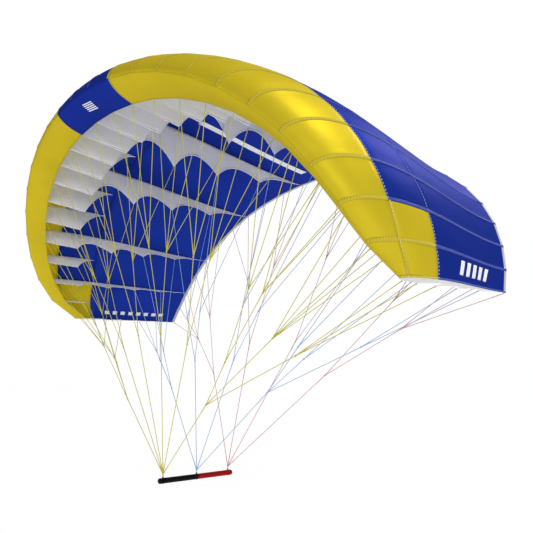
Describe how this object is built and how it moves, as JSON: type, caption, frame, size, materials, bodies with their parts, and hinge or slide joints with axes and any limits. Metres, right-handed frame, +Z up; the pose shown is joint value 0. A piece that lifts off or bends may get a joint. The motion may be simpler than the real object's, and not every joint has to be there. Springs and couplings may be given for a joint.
{
  "type": "kitesurf kite",
  "caption": "Arched single-skin foil kite with scalloped inner ribs, a branching bridle in three line groups and a short control bar.",
  "frame": {"origin": "middle of the control bar, on its axis", "axes": "+X to the right along the span, +Y from leading edge to trailing edge, +Z up from the bar to the canopy"},
  "size_m": [3.3072, 1.9563, 2.256],
  "materials": {
    "yellow_ripstop": "calendered nylon ripstop, slightly shiny",
    "blue_ripstop": "calendered nylon ripstop, slightly shiny",
    "grey_ripstop": "calendered nylon ripstop, satin",
    "edge_tape": "woven polyester tape",
    "loop_webbing": "woven polyester loops",
    "yellow_line": "sheathed braided line",
    "blue_line": "sheathed braided line",
    "red_line": "sheathed braided line",
    "bar_aluminium": "anodised",
    "black_grip": "moulded foam, satin",
    "red_grip": "moulded foam, satin",
    "black_cap": "moulded",
    "red_cap": "moulded"
  },
  "bodies": {
    "kite": {"front_skin_left": "yellow_ripstop", "front_skin_right": "yellow_ripstop", "middle_skin_left_tip": "yellow_ripstop", "middle_skin_right_tip": "yellow_ripstop", "nose_skin_left": "yellow_ripstop", "nose_skin_right": "yellow_ripstop", "front_skin_centre": "blue_ripstop", "middle_skin": "blue_ripstop", "rear_skin_left": "blue_ripstop", "rear_skin_centre": "blue_ripstop", "rear_skin_right": "blue_ripstop", "nose_skin_centre": "blue_ripstop", "rib_01": "grey_ripstop", "rib_02": "grey_ripstop", "rib_03": "grey_ripstop", "rib_04": "grey_ripstop", "rib_05": "grey_ripstop", "rib_06": "grey_ripstop", "rib_07": "grey_ripstop", "rib_08": "grey_ripstop", "rib_09": "grey_ripstop", "rib_10": "grey_ripstop", "rib_11": "grey_ripstop", "rib_12": "grey_ripstop", "rib_13": "grey_ripstop", "rib_14": "grey_ripstop", "rib_15": "grey_ripstop", "rib_16": "grey_ripstop", "rib_17": "grey_ripstop", "rib_18": "grey_ripstop", "rib_19": "grey_ripstop", "rib_20": "grey_ripstop", "rib_21": "grey_ripstop", "rib_22": "grey_ripstop", "rib_23": "grey_ripstop", "rib_24": "grey_ripstop", "tail_tape": "edge_tape", "line_loops": "loop_webbing", "front_upper_lines": "yellow_line", "front_middle_lines": "yellow_line", "front_main_lines": "yellow_line", "centre_upper_lines": "blue_line", "centre_middle_lines": "blue_line", "centre_main_lines": "blue_line", "rear_upper_lines": "red_line", "rear_middle_lines": "red_line", "rear_main_lines": "red_line"},
    "bar": {"bar_tube": "bar_aluminium", "front_grip": "black_grip", "rear_grip": "red_grip", "front_end_cap": "black_cap", "rear_end_cap": "red_cap", "front_collar": "black_cap", "centre_collar": "black_cap", "rear_collar": "red_cap", "front_leader": "yellow_line", "centre_leader": "blue_line", "rear_leader": "red_line"}
  },
  "joints": [
    {"name": "bar_tilt", "type": "hinge", "parent": "kite", "child": "bar", "pos_m": [0, 0, 0.0239], "axis": [1, 0, 0], "range_deg": [-20, 20], "deforming": ["front_main_lines", "centre_main_lines", "rear_main_lines"]}
  ]
}
